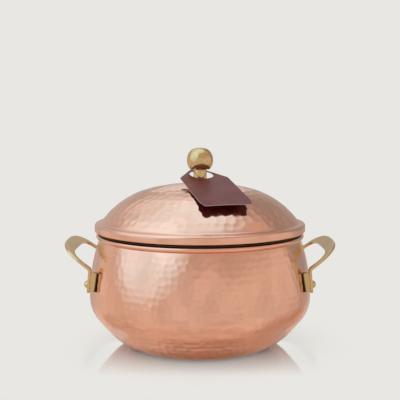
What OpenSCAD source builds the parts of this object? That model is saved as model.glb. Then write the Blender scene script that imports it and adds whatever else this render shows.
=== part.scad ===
// Lidded copper soup kettle: a bellied, hammered pot on a flat base, with a stainless
// lining, two bent brass strap handles on rivets, a domed lid that lifts off, a brass
// ball knob on a stem, and a card swing tag looped over the stem.
// Origin at the middle of the base, +Z up, the handles along X. Millimetres.

/* [Pot] */
// Radius of the belly at its widest
belly_r = 110.7; // [100:0.1:120]
// Height of the widest point above the base
belly_z = 50; // [46:1:56]
// Radius of the arc above the widest point
upper_arc_r = 171; // [150:1:200]
// Radius of the arc below the widest point
lower_arc_r = 31; // [26:1:36]
// Sweep of the arc below the widest point, degrees
lower_sweep = 40; // [34:1:46]
// Radius of the arc that rounds the wall into the base
base_arc_r = 50; // [44:1:54]
// Thickness of the copper wall
wall_t = 1.2; // [0.8:0.1:2]
// Height of the middle of the rolled rim
rim_z = 110.6; // [106:0.2:116]
// Radius of the rolled rim's own section
rim_roll_r = 2.2; // [1.8:0.1:2.8]
// Radius of the wire inside the rolled rim
rim_wire_r = 0.9; // [0.6:0.1:1]

/* [Lining] */
// Thickness of the stainless lining
liner_t = 0.8; // [0.5:0.1:1.2]
// Clearance between the copper wall and the lining
liner_fit = 0.1; // [0.05:0.05:0.2]
// Drop of the lining's top edge below the top of the rolled rim
liner_drop = 1.2; // [0.8:0.1:2]

/* [Handles] */
// Distance from the middle of the pot to the middle of each foot, along Y
foot_y = 46; // [42:0.5:50]
// Width of the strap at the feet and arms
strap_w = 9; // [8:0.5:11]
// Width of the strap along the arms of the loop
arm_w = 7; // [6:0.5:9]
// Length over which the arms widen towards the feet
arm_taper = 5; // [3:0.5:8]
// Thickness of the strap
strap_t = 2.4; // [1.8:0.1:2.8]
// Width of the strap where the hand holds it
grip_w = 13; // [11:0.5:15]
// Height of the lowest point of the feet
foot_z = 60.6; // [57:0.2:64]
// Clearance of the feet from the wall where they come nearest to it
foot_stand = 2.6; // [2:0.1:4]
// Lean of the feet towards the pot, along the slope of its wall, degrees
foot_lean = 5; // [3:0.5:7]
// Height at which the strap starts to bend outward
bend_z = 81.3; // [78:0.1:85]
// Inside radius of the bend
bend_r = 3; // [2:0.5:5]
// Rise of the loop above the horizontal, degrees
loop_tilt = 37.7; // [30:0.1:45]
// Reach of the loop from the bend to its outer edge
loop_reach = 34.2; // [32:0.1:38]
// Squareness of the loop's outer edge, 2 for an ellipse
loop_power_out = 2.7; // [2:0.1:3]
// Squareness of the loop's inner edge, 2 for an ellipse
loop_power_in = 4; // [2:0.1:4.4]

/* [Rivets] */
// Height of each rivet above the lowest point of its foot
rivet_rise = 8; // [6:0.5:10]
// Radius of the rivet shank
rivet_r = 1.9; // [1.6:0.05:1.9]
// Radius of the round rivet head
rivet_head_r = 3.75; // [3.2:0.05:4.2]
// Height of the round rivet head
rivet_head_h = 3.4; // [2.4:0.1:3.6]
// Radius of the closed head inside the pot
rivet_tail_r = 3.4; // [3:0.1:4]
// Height of the closed head inside the pot
rivet_tail_h = 1.6; // [1.2:0.1:2]
// Width of the saddle blocks between the feet and the wall
spacer_w = 7; // [6:0.5:8]
// Reach of a saddle block above its rivet
spacer_up = 11.5; // [8:0.5:12]
// Reach of a saddle block below its rivet
spacer_down = 6.2; // [5:0.2:6.4]
// Radius of the saddle washers inside the pot
saddle_r = 5; // [4.4:0.1:5.6]
// Least thickness of a saddle washer
saddle_t = 1; // [0.8:0.1:1.5]

/* [Lid] */
// Overhang of the lid's skirt beyond the rolled rim
lid_overhang = 1.4; // [0.8:0.1:2]
// Height of the skirt's lower edge above the top of the rolled rim
lid_gap = 2.6; // [2:0.1:3.2]
// Height of the skirt up to the middle of its top corner
skirt_h = 5.4; // [4.6:0.1:7]
// Radius of the skirt's top corner
skirt_corner_r = 2.5; // [2.2:0.1:3]
// Thickness of the lid's copper
lid_t = 1; // [0.8:0.1:1.2]
// Fall of the flange towards the skirt, degrees
flange_fall = 8; // [4:1:12]
// Radius of the hollow where the dome meets the flange
dome_fillet_r = 3; // [2:0.5:4]
// Width of the flange between the middle of the hollow and the middle of the skirt's corner
flange_w = 2.1; // [1.5:0.1:4]
// Radius of the flatter arc over the crown
crown_arc_r = 220; // [200:5:240]
// Radius of the tighter arc at the shoulder
shoulder_arc_r = 82.5; // [78:0.5:85]
// Slope of the dome where it meets the hollow, degrees
dome_edge_slope = 54; // [50:1:56]
// Radius of the hem along the skirt's lower edge
hem_r = 0.9; // [0.7:0.1:1.2]

/* [Seat ring] */
// Clearance between the spigot and the lining
spigot_fit = 0.6; // [0.4:0.1:1]
// Thickness of the seat ring's metal
ring_t = 1; // [0.8:0.1:1.2]
// Depth of the spigot below the top of the rolled rim
spigot_depth = 8.8; // [6:0.2:12]
// Clearance between the seat and the rolled rim
seat_fit = 0.25; // [0.2:0.05:0.4]

/* [Knob] */
// Radius of the ball
ball_r = 13.1; // [11:0.05:14]
// Fullness of the ball's upper half, 2 for a true ball
ball_power = 2.3; // [2:0.05:2.6]
// Height of the ball's middle above the flat under it
ball_flat_drop = 8.6; // [7:0.1:9.5]
// Radius of the stem
stem_r = 6.6; // [5.5:0.1:7.5]
// Length of the stem between the lid and the ball
stem_h = 13.4; // [11:0.1:16]
// Width of the bevel round both ends of the stem
stem_bevel = 0.5; // [0.3:0.1:0.8]
// Radius of the knob screw
screw_r = 3; // [2.5:0.25:3.5]
// Radial clearance of the screw in the stem and the lid
screw_fit = 0.3; // [0.2:0.05:0.5]
// Depth of the tapped hole in the ball
tap_depth = 12; // [8:0.5:14]
// Radius of the screw head
screw_head_r = 5.5; // [5:0.25:6.5]
// Height of the screw head
screw_head_h = 3.4; // [2.5:0.1:4]
// Width across the flats of the hexagon socket
socket_w = 4; // [3:0.5:5]
// Depth of the hexagon socket
socket_depth = 2; // [1.5:0.1:2.4]
// Radius of the washer under the lid
washer_r = 9; // [8:0.25:11]
// Thickness of the washer under the lid
washer_t = 1.2; // [0.8:0.1:1.6]
// Thickness of the spring washer under the screw head
spring_washer_t = 1.4; // [1:0.1:1.8]
// Radius of the spring washer
spring_washer_r = 5.2; // [4.8:0.1:5.5]

/* [Swing tag] */
// Width of the card
tag_w = 49.5; // [42:0.5:54]
// Length of the card
tag_l = 99; // [80:1:104]
// Thickness of the card
tag_t = 0.8; // [0.6:0.1:1.2]
// Radius of the hole in the card
tag_hole_r = 12; // [9:0.5:13]
// Distance from the card's cut end to the middle of its hole
tag_hole_in = 16; // [14:0.5:17]
// Width of the cut end between its two clipped corners
tag_end_w = 13; // [8:1:16]
// Length of the clipped corners along the card
tag_clip_l = 25; // [20:1:28]
// Slope of the card, degrees
tag_slope = 16; // [14:0.5:20]
// Turn of the card about the stem, degrees
tag_turn = -72; // [-180:1:180]
// Clearance of the card from the dome and from the stem
tag_fit = 0.3; // [0.2:0.05:0.5]

/* [Hidden] */

$fn = 96;
ARC_STEPS = 12;
LOOP_STEPS = 48;
SADDLE_FN = 360;
FACE_GAP = 0.05;
JOIN = 0.02;
CUT = 1;
COPPER = [0.85, 0.55, 0.42];
BRASS = [0.80, 0.68, 0.38];
STEEL = [0.75, 0.76, 0.78];
BURGUNDY = [0.34, 0.12, 0.14];

// Points of an arc about c, from angle a0 to angle a1
function arc(c, r, a0, a1, steps = ARC_STEPS) =
    [for (i = [0:steps]) let (a = a0 + (a1 - a0) * i / steps) c + r * [cos(a), sin(a)]];
// The same list in the other order
function backwards(list) = [for (i = [len(list) - 1:-1:0]) list[i]];
// Points of a superellipse's outer half, y from -half to +half, x out to reach
function loop_edge(half, reach, power) =
    [for (i = [0:LOOP_STEPS])
        let (a = -90 + 180 * i / LOOP_STEPS)
        [reach * pow(max(cos(a), 0), 2 / power),
            half * sign(sin(a)) * pow(abs(sin(a)), 2 / power)]];

// Pot wall: the straight stretch between the lower arc and the base arc
slope_drop = belly_z - lower_arc_r * sin(lower_sweep) - base_arc_r * (1 - sin(lower_sweep));
slope_l = slope_drop / cos(lower_sweep);
flat_r = belly_r - lower_arc_r * (1 - cos(lower_sweep)) - slope_l * sin(lower_sweep)
    - base_arc_r * cos(lower_sweep);
neck_z = rim_z - rim_roll_r;
neck_a = asin((neck_z - belly_z) / upper_arc_r);
neck_r = belly_r - upper_arc_r * (1 - cos(neck_a));
rim_r = neck_r - wall_t + rim_roll_r;
rim_top = rim_z + rim_roll_r;

// Radius of the pot's outer face at height z above the widest point
function pot_r(z) = belly_r - upper_arc_r + sqrt(pow(upper_arc_r, 2) - pow(z - belly_z, 2));
// Outline of the wall from the axis up to a height in the neck, set in by off
function wall_line(off, top) = concat(
    [[0, off]],
    arc([flat_r, base_arc_r], base_arc_r - off, -90, -lower_sweep),
    arc([belly_r - lower_arc_r, belly_z], lower_arc_r - off, -lower_sweep, 0),
    arc([belly_r - upper_arc_r, belly_z], upper_arc_r - off, 0, neck_a),
    [[neck_r - off, top]]);

liner_out = wall_t + liner_fit;
liner_in = liner_out + liner_t;
liner_top = rim_top - liner_drop;
mouth_r = neck_r - liner_in;

// Handles
foot_touch_z = foot_z + strap_w / 2;
foot_inner_y = foot_y - strap_w / 2;
foot_x = sqrt(pow(pot_r(foot_touch_z), 2) - pow(foot_inner_y, 2)) + foot_stand;
bend_outer_r = bend_r + strap_t;
bend_start_z = bend_z - bend_outer_r * sin(foot_lean);
bend_x = foot_face(bend_start_z) + bend_outer_r * cos(foot_lean);
bend_sweep = 90 - loop_tilt;
loop_half = foot_y + strap_w / 2;
arm_half = loop_half - arm_w;
handle_out_x = bend_x + loop_reach;

// Inner face of a foot at a height, leaning in as the wall does
function foot_face(z) = foot_x - (z - foot_touch_z) * tan(foot_lean);

// Rivets, square to the feet: distances run outward from the inner face of the foot
rivet_z = foot_z + rivet_rise;
rivet_hole_r = rivet_r + FACE_GAP;
rivet_x = foot_face(rivet_z);
saddle_far_x = sqrt(pow(pot_r(rivet_z) - liner_in, 2) - pow(foot_y + saddle_r, 2));
saddle_d = (saddle_far_x - rivet_x) / cos(foot_lean) - saddle_t;

// Lid: the two arcs of the dome, the hollow, the flange, and the skirt
skirt_z = rim_top + lid_gap;
lid_r = rim_r + rim_roll_r + lid_overhang;
corner_z = skirt_z + skirt_h;
corner_r = lid_r - skirt_corner_r;
hollow_r = corner_r - flange_w;
dome_edge_r = hollow_r - dome_fillet_r * sin(dome_edge_slope);
dome_join_r = (dome_edge_r - shoulder_arc_r * sin(dome_edge_slope))
    / (1 - shoulder_arc_r / crown_arc_r);
crown_a = asin(dome_join_r / crown_arc_r);
flange_in_r = hollow_r - dome_fillet_r * sin(flange_fall);
flange_out_r = corner_r + skirt_corner_r * sin(flange_fall);
flange_out_z = corner_z + skirt_corner_r * cos(flange_fall);
flange_in_z = flange_out_z + (flange_out_r - flange_in_r) * tan(flange_fall);
hollow_z = flange_in_z + dome_fillet_r * cos(flange_fall);
dome_edge_z = hollow_z - dome_fillet_r * cos(dome_edge_slope);
shoulder_c = [dome_join_r - shoulder_arc_r * sin(crown_a),
    dome_edge_z - shoulder_arc_r * cos(dome_edge_slope)];
crown_z = shoulder_c.y + (shoulder_arc_r - crown_arc_r) * cos(crown_a) + crown_arc_r;

// Outline of the lid from the axis down to the skirt's lower edge, set in by off
function lid_line(off) = concat(
    arc([0, crown_z - crown_arc_r], crown_arc_r - off, 90, 90 - crown_a),
    arc(shoulder_c, shoulder_arc_r - off, 90 - crown_a, 90 - dome_edge_slope),
    arc([hollow_r, hollow_z], dome_fillet_r + off, 270 - dome_edge_slope, 270 - flange_fall),
    arc([corner_r, corner_z], skirt_corner_r - off, 90 - flange_fall, 0),
    [[lid_r - off, skirt_z + hem_r]]);
// Height of the flange's under face at radius r
function flange_under(r) = flange_out_z + (flange_out_r - r) * tan(flange_fall)
    - lid_t / cos(flange_fall);

// Seat ring
spigot_r = mouth_r - spigot_fit;
spigot_in_r = spigot_r - ring_t;
spigot_z = rim_top - spigot_depth;
seat_z = rim_top + seat_fit;
ring_top_r = corner_r;

// Knob
stem_z = crown_z;
ball_z = stem_z + stem_h + ball_flat_drop;
lid_hole_r = screw_r + screw_fit;
washer_z = crown_z - crown_arc_r + sqrt(pow(crown_arc_r - lid_t, 2) - pow(washer_r, 2))
    - FACE_GAP - washer_t;
spring_washer_z = washer_z - spring_washer_t;
screw_z = spring_washer_z - screw_head_h;
screw_top_z = stem_z + stem_h + tap_depth - CUT;

// Swing tag: its under face is tangent to the dome's shoulder, tag_fit clear of it,
// and the upper side of its hole hangs on the stem
tag_reach = shoulder_arc_r + tag_fit;
tag_axis_z = shoulder_c.y + (tag_reach + shoulder_c.x * sin(tag_slope)) / cos(tag_slope);
tag_hole_s = tag_hole_r - (stem_r + tag_fit + tag_t * sin(tag_slope)) / cos(tag_slope);

// A body turned about the pot's axis
module turned(points) {
    rotate_extrude() polygon(points);
}

// A sheet-metal bowl between two set-in outlines of the pot
module pot_wall(outer, inner, top) {
    turned(concat(wall_line(outer, top), backwards(wall_line(inner, top))));
}

// Copies a part made for the right side to either side
module on_side(right) {
    mirror([right ? 0 : 1, 0, 0]) children();
}

// Sets a part made along +Z on a rivet's axis, with its origin on the foot's inner face
module at_rivet(front) {
    translate([rivet_x, front ? -foot_y : foot_y, rivet_z])
        rotate([0, 90 - foot_lean, 0]) children();
}

// A rivet's hole, between two distances along its axis
module rivet_hole(from, to) {
    translate([0, 0, from]) cylinder(r = rivet_hole_r, h = to - from);
}

module pot_shell() {
    color(COPPER) difference() {
        union() {
            pot_wall(0, wall_t, rim_z);
            rotate_extrude() translate([rim_r, rim_z]) circle(rim_roll_r);
        }
        rotate_extrude() translate([rim_r, rim_z]) circle(rim_wire_r + FACE_GAP);
        rivet_holes();
    }
}

module rivet_holes() {
    for (right = [true, false])
        for (front = [true, false])
            on_side(right) at_rivet(front) rivet_hole(saddle_d - CUT, 0);
}

module rim_wire() {
    color(STEEL) rotate_extrude() translate([rim_r, rim_z]) circle(rim_wire_r);
}

module pot_liner() {
    color(STEEL) difference() {
        pot_wall(liner_out, liner_in, liner_top);
        rivet_holes();
    }
}

// The strap seen from the front of the kettle: straight foot, bend, straight rise
module strap_side() {
    rise = loop_reach + CUT;
    function tip(r) = [bend_x, bend_z] + r * [-cos(bend_sweep), sin(bend_sweep)]
        + rise * [cos(loop_tilt), sin(loop_tilt)];
    low_z = foot_z - CUT;
    rotate([90, 0, 0]) linear_extrude(2 * loop_half + CUT, center = true)
        polygon(concat([[foot_face(low_z), low_z]],
            arc([bend_x, bend_z], bend_outer_r, 180 + foot_lean, 180 - bend_sweep),
            [tip(bend_outer_r), tip(bend_r)],
            backwards(arc([bend_x, bend_z], bend_r, 180 + foot_lean, 180 - bend_sweep)),
            [[foot_face(low_z) + strap_t / cos(foot_lean), low_z]]));
}

// The loop seen square to its own plane: the hand's grip, and two arms running back
module loop_plan() {
    back = -loop_reach;
    translate([bend_x - bend_r * cos(bend_sweep), 0, bend_z + bend_r * sin(bend_sweep)])
        rotate([0, -loop_tilt, 0]) linear_extrude(2 * loop_reach, center = true) difference() {
            polygon(concat([[back, -loop_half]],
                loop_edge(loop_half, loop_reach, loop_power_out),
                [[back, loop_half]]));
            polygon(concat([[back - CUT, -foot_inner_y], [-arm_taper, -foot_inner_y]],
                loop_edge(arm_half, loop_reach - grip_w, loop_power_in),
                [[-arm_taper, foot_inner_y], [back - CUT, foot_inner_y]]));
        }
}

// The handle seen from the side of the kettle: two feet with round lower ends
module feet_front() {
    top = bend_z + loop_reach;
    function toe(y) = arc([y, foot_touch_z], strap_w / 2, 180, 360);
    rotate([90, 0, 90]) linear_extrude(handle_out_x)
        polygon(concat([[-loop_half, top]], toe(-foot_y),
            [[-foot_inner_y, bend_z], [foot_inner_y, bend_z]], toe(foot_y),
            [[loop_half, top]]));
}

module handle(right) {
    color(BRASS) on_side(right) difference() {
        intersection() {
            strap_side();
            loop_plan();
            feet_front();
        }
        for (front = [true, false])
            at_rivet(front) rivet_hole(-CUT, strap_t + CUT);
    }
}

// A rivet: round head outside the foot, shank, and closed head inside the pot
module rivet(right, front) {
    head_ball_r = (pow(rivet_head_r, 2) + pow(rivet_head_h, 2)) / (2 * rivet_head_h);
    tail_ball_r = (pow(rivet_tail_r, 2) + pow(rivet_tail_h, 2)) / (2 * rivet_tail_h);
    head_d = strap_t + FACE_GAP;
    tail_d = saddle_d - FACE_GAP;
    color(BRASS) on_side(right) at_rivet(front) rotate_extrude() {
        translate([0, tail_d - JOIN]) square([rivet_r, head_d - tail_d + 2 * JOIN]);
        intersection() {
            translate([0, head_d + rivet_head_h - head_ball_r]) circle(head_ball_r);
            translate([0, head_d]) square([rivet_head_r + CUT, rivet_head_h + CUT]);
        }
        intersection() {
            translate([0, tail_d - rivet_tail_h + tail_ball_r]) circle(tail_ball_r);
            translate([0, tail_d - rivet_tail_h - CUT])
                square([rivet_tail_r + CUT, rivet_tail_h + CUT]);
        }
    }
}

// A block that fills the wedge between the flat foot and the round wall
module spacer(right, front) {
    color(BRASS) on_side(right) difference() {
        at_rivet(front) difference() {
            translate([-spacer_up, -spacer_w / 2, saddle_d])
                cube([spacer_up + spacer_down, spacer_w, -saddle_d - FACE_GAP]);
            rivet_hole(saddle_d - CUT, CUT);
        }
        turned(concat(wall_line(-FACE_GAP, neck_z), [[0, neck_z]]), $fn = SADDLE_FN);
    }
}

// A washer between the closed rivet head and the lining, its outer face cut to the wall
module saddle(right, front) {
    color(STEEL) on_side(right) intersection() {
        at_rivet(front) difference() {
            translate([0, 0, saddle_d]) cylinder(r = saddle_r, h = -saddle_d);
            rivet_hole(saddle_d - CUT, CUT);
        }
        turned(concat(wall_line(liner_in + FACE_GAP, neck_z), [[0, neck_z]]), $fn = SADDLE_FN);
    }
}

module lid_shell() {
    color(COPPER) difference() {
        union() {
            turned(concat(lid_line(0), backwards(lid_line(lid_t))));
            rotate_extrude() translate([lid_r - hem_r, skirt_z + hem_r]) circle(hem_r);
        }
        translate([0, 0, washer_z]) cylinder(r = lid_hole_r, h = crown_z - washer_z + CUT);
    }
}

// A stainless ring under the flange: its land bears on the rolled rim and its spigot
// keeps the lid central in the mouth
module lid_seat_ring() {
    top_z = flange_under(flange_in_r) - FACE_GAP;
    out_z = flange_under(ring_top_r) - FACE_GAP;
    color(STEEL) turned([
        [spigot_in_r, spigot_z], [spigot_r, spigot_z], [spigot_r, seat_z], [rim_r, seat_z],
        [rim_r, seat_z + ring_t], [spigot_r, seat_z + ring_t], [spigot_r, top_z - ring_t],
        [flange_in_r, top_z - ring_t], [ring_top_r, out_z - ring_t], [ring_top_r, out_z],
        [flange_in_r, top_z], [spigot_in_r, top_z]]);
}

module knob_stem() {
    color(BRASS) translate([0, 0, stem_z]) rotate_extrude() polygon([
        [lid_hole_r, 0], [stem_r - stem_bevel, 0], [stem_r, stem_bevel],
        [stem_r, stem_h - stem_bevel], [stem_r - stem_bevel, stem_h], [lid_hole_r, stem_h]]);
}

module knob_ball() {
    low = arc([0, 0], ball_r, -90, 0, LOOP_STEPS / 2);
    high = [for (p = loop_edge(ball_r, ball_r, ball_power)) if (p.y > 0) p];
    color(BRASS) difference() {
        translate([0, 0, ball_z]) turned(concat(low, high));
        translate([0, 0, stem_z]) cylinder(r = ball_r, h = stem_h);
        translate([0, 0, stem_z + stem_h - CUT])
            cylinder(r = screw_r + FACE_GAP, h = tap_depth + CUT);
    }
}

module knob_screw() {
    color(STEEL) difference() {
        union() {
            translate([0, 0, screw_z]) cylinder(r = screw_head_r, h = screw_head_h);
            translate([0, 0, screw_z]) cylinder(r = screw_r, h = screw_top_z - screw_z);
        }
        translate([0, 0, screw_z - CUT])
            cylinder(r = socket_w / sqrt(3), h = socket_depth + CUT, $fn = 6);
    }
}

module flat_washer(z, r, h) {
    color(STEEL) translate([0, 0, z]) difference() {
        cylinder(r = r, h = h);
        translate([0, 0, -CUT]) cylinder(r = lid_hole_r, h = h + 2 * CUT);
    }
}

module swing_tag() {
    end_s = tag_hole_s - tag_hole_in;
    clip_s = end_s + tag_clip_l;
    far_s = end_s + tag_l;
    color(BURGUNDY) rotate([0, 0, tag_turn]) translate([0, 0, tag_axis_z])
        rotate([0, tag_slope, 0]) linear_extrude(tag_t) difference() {
            polygon([[end_s, -tag_end_w / 2], [clip_s, -tag_w / 2], [far_s, -tag_w / 2],
                [far_s, tag_w / 2], [clip_s, tag_w / 2], [end_s, tag_end_w / 2]]);
            translate([tag_hole_s, 0]) circle(tag_hole_r);
        }
}

pot_shell();
rim_wire();
pot_liner();
handle(false);  // handle_left
handle(true);  // handle_right
rivet(false, true);  // rivet_left_front
rivet(false, false);  // rivet_left_rear
rivet(true, true);  // rivet_right_front
rivet(true, false);  // rivet_right_rear
spacer(false, true);  // spacer_left_front
spacer(false, false);  // spacer_left_rear
spacer(true, true);  // spacer_right_front
spacer(true, false);  // spacer_right_rear
saddle(false, true);  // saddle_left_front
saddle(false, false);  // saddle_left_rear
saddle(true, true);  // saddle_right_front
saddle(true, false);  // saddle_right_rear
lid_shell();
lid_seat_ring();
knob_stem();
knob_ball();
knob_screw();
flat_washer(washer_z, washer_r, washer_t);  // knob_washer
flat_washer(spring_washer_z, spring_washer_r, spring_washer_t);  // knob_spring_washer
swing_tag();
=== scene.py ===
"""Looks of the lidded copper soup kettle: hammered copper pot and lid, brass strap handles,
brass ball knob, stainless lining and a bare card swing tag, on a pale floor in soft light.

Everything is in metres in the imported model's own frame. Angles are in radians, except where
a name or a comment says degrees. Each piece has its own function, and so does each
material."""

import bpy
import math
import numpy as np
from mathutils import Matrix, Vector

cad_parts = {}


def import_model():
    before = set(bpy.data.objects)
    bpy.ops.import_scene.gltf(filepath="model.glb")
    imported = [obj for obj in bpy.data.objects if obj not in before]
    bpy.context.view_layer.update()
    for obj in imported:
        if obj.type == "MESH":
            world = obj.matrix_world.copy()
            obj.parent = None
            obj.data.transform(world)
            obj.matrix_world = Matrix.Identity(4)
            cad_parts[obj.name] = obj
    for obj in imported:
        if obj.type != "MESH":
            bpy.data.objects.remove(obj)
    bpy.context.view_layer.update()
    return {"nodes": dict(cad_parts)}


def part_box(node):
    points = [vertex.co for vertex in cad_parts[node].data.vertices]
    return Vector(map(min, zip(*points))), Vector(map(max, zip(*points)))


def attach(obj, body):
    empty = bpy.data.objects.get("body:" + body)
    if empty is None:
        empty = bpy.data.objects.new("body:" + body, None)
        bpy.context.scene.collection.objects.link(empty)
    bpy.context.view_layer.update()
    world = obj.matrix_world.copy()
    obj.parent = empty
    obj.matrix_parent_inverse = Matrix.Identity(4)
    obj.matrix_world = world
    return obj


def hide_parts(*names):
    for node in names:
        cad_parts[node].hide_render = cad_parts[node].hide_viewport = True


MM = 0.001

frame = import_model()


# ---------------------------------------------------------------- sizes from the frame

def radius_of(node):
    """Outside radius of a CAD node that is turned about the kettle's axis."""
    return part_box(node)[1].y


def top_of(node):
    """Highest point of a CAD node."""
    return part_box(node)[1].z


def bottom_of(node):
    """Lowest point of a CAD node."""
    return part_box(node)[0].z


# Pot wall: an arc above the widest point, one below it, a straight stretch, a base arc
BELLY_R = radius_of("pot_shell")
BELLY_Z = 50 * MM
UPPER_ARC_R = 171 * MM
LOWER_ARC_R = 31 * MM
LOWER_SWEEP = math.radians(40)
BASE_ARC_R = 50 * MM
WALL_T = 1.2 * MM
ROLL_R = 2.2 * MM
ROLL_START = -math.radians(130)
RIM_TOP = top_of("pot_shell")
RIM_Z = RIM_TOP - ROLL_R
NECK_Z = RIM_Z - ROLL_R
NECK_A = math.asin((NECK_Z - BELLY_Z) / UPPER_ARC_R)
NECK_R = BELLY_R - UPPER_ARC_R * (1 - math.cos(NECK_A))
RIM_R = NECK_R - WALL_T + ROLL_R
SLOPE_DROP = (BELLY_Z - LOWER_ARC_R * math.sin(LOWER_SWEEP)
              - BASE_ARC_R * (1 - math.sin(LOWER_SWEEP)))
SLOPE_L = SLOPE_DROP / math.cos(LOWER_SWEEP)
FLAT_R = (BELLY_R - LOWER_ARC_R * (1 - math.cos(LOWER_SWEEP))
          - SLOPE_L * math.sin(LOWER_SWEEP) - BASE_ARC_R * math.cos(LOWER_SWEEP))

# Lining
LINER_T = 0.8 * MM
LINER_GAP = 0.1 * MM
LINER_OUT = WALL_T + LINER_GAP
LINER_IN = LINER_OUT + LINER_T
LINER_TOP = top_of("pot_liner")

# Lid: crown arc, shoulder arc, hollow, flange, skirt corner, skirt, hem
LID_R = radius_of("lid_shell")
LID_T = 1.0 * MM
SKIRT_Z = bottom_of("lid_shell")
SKIRT_H = 5.4 * MM
SKIRT_CORNER_R = 2.5 * MM
FLANGE_FALL = math.radians(8)
FLANGE_W = 2.1 * MM
HOLLOW_FILLET_R = 3.0 * MM
CROWN_ARC_R = 220 * MM
SHOULDER_ARC_R = 82.5 * MM
DOME_EDGE_SLOPE = math.radians(54)
HEM_R = 0.9 * MM
CORNER_Z = SKIRT_Z + SKIRT_H
CORNER_R = LID_R - SKIRT_CORNER_R
HOLLOW_R = CORNER_R - FLANGE_W
DOME_EDGE_R = HOLLOW_R - HOLLOW_FILLET_R * math.sin(DOME_EDGE_SLOPE)
DOME_JOIN_R = ((DOME_EDGE_R - SHOULDER_ARC_R * math.sin(DOME_EDGE_SLOPE))
               / (1 - SHOULDER_ARC_R / CROWN_ARC_R))
CROWN_A = math.asin(DOME_JOIN_R / CROWN_ARC_R)
FLANGE_IN_R = HOLLOW_R - HOLLOW_FILLET_R * math.sin(FLANGE_FALL)
FLANGE_OUT_R = CORNER_R + SKIRT_CORNER_R * math.sin(FLANGE_FALL)
FLANGE_OUT_Z = CORNER_Z + SKIRT_CORNER_R * math.cos(FLANGE_FALL)
FLANGE_IN_Z = FLANGE_OUT_Z + (FLANGE_OUT_R - FLANGE_IN_R) * math.tan(FLANGE_FALL)
HOLLOW_Z = FLANGE_IN_Z + HOLLOW_FILLET_R * math.cos(FLANGE_FALL)
DOME_EDGE_Z = HOLLOW_Z - HOLLOW_FILLET_R * math.cos(DOME_EDGE_SLOPE)
SHOULDER_C = (DOME_JOIN_R - SHOULDER_ARC_R * math.sin(CROWN_A),
              DOME_EDGE_Z - SHOULDER_ARC_R * math.cos(DOME_EDGE_SLOPE))
CROWN_Z = SHOULDER_C[1] + (SHOULDER_ARC_R - CROWN_ARC_R) * math.cos(CROWN_A) + CROWN_ARC_R

# Handles: feet that lean with the wall, a bend, and a tilted loop
STRAP_W = 9 * MM
ARM_W = 7 * MM
ARM_TAPER = 5 * MM
STRAP_T = 2.4 * MM
STRAP_EDGE_R = 0.45 * MM
STRAP_EDGE_MOST = 0.35
GRIP_W = 13 * MM
FOOT_STAND = 2.6 * MM
FOOT_LEAN = math.radians(5)
BEND_R = 3 * MM
BEND_OUTER_R = BEND_R + STRAP_T
BEND_Z = 81.3 * MM
LOOP_TILT = math.radians(37.7)
LOOP_REACH = 34.2 * MM
LOOP_POWER_OUT = 2.7
LOOP_POWER_IN = 4.0
LOOP_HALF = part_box("handle_right")[1].y
ARM_HALF = LOOP_HALF - ARM_W
FOOT_Y = LOOP_HALF - STRAP_W / 2
FOOT_INNER_Y = LOOP_HALF - STRAP_W
FOOT_Z = bottom_of("handle_right")
FOOT_TOUCH_Z = FOOT_Z + STRAP_W / 2
FOOT_WALL_R = BELLY_R - UPPER_ARC_R + math.sqrt(UPPER_ARC_R ** 2
                                                - (FOOT_TOUCH_Z - BELLY_Z) ** 2)
FOOT_X = math.sqrt(FOOT_WALL_R ** 2 - FOOT_INNER_Y ** 2) + FOOT_STAND
TOE_STEPS = 9
TOE_START_DEG = 3
RISE_POINTS = 8
BEND_STEPS = 12
LOOP_STEPS = 72

# Saddle blocks: where the wall passes behind them, and the crevice along it that gets painted
# shade
SPACER_Z = 68.6 * MM
SPACER_WALL_R = 109.7 * MM
WALL_FALL = 0.14
CREVICE_NEAR = 0.9 * MM
CREVICE_FAR = 1.9 * MM

# Knob
BALL_R = radius_of("knob_ball")
BALL_FLAT_Z = bottom_of("knob_ball")
BALL_Z = top_of("knob_ball") - BALL_R
BALL_POWER = 2.3
BALL_EDGE_R = 0.6 * MM
BALL_STEP = BALL_R / 48
BALL_TOP_DEG = 89.5
BALL_TOP_POINTS = 50
STEM_R = radius_of("knob_stem")
STEM_Z = bottom_of("knob_stem")
STEM_BEVEL = 0.5 * MM
STEM_HUB_R = 0.3 * STEM_R

# Swing tag
TAG_W = 49.5 * MM
TAG_L = 99 * MM
TAG_T = 0.5 * MM
TAG_CAD_T = 0.8 * MM
TAG_HOLE_R = 12 * MM
TAG_HOLE_IN = 16 * MM
TAG_END_W = 13 * MM
TAG_CLIP_L = 25 * MM
TAG_SLOPE = math.radians(16)
TAG_TURN = math.radians(-72)
TAG_FIT = 0.3 * MM
TAG_CURL = 0.6 * MM
TAG_REACH = SHOULDER_ARC_R + TAG_FIT
TAG_AXIS_Z = SHOULDER_C[1] + ((TAG_REACH + SHOULDER_C[0] * math.sin(TAG_SLOPE))
                              / math.cos(TAG_SLOPE))
TAG_HOLE_S = TAG_HOLE_R - ((STEM_R + TAG_FIT + TAG_CAD_T * math.sin(TAG_SLOPE))
                           / math.cos(TAG_SLOPE))
TAG_AROUND = 96
TAG_ROWS = 26
TAG_ROW_POWER = 1.5
NEARLY_PARALLEL = 1e-15
ON_EDGE = 1e-9

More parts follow.
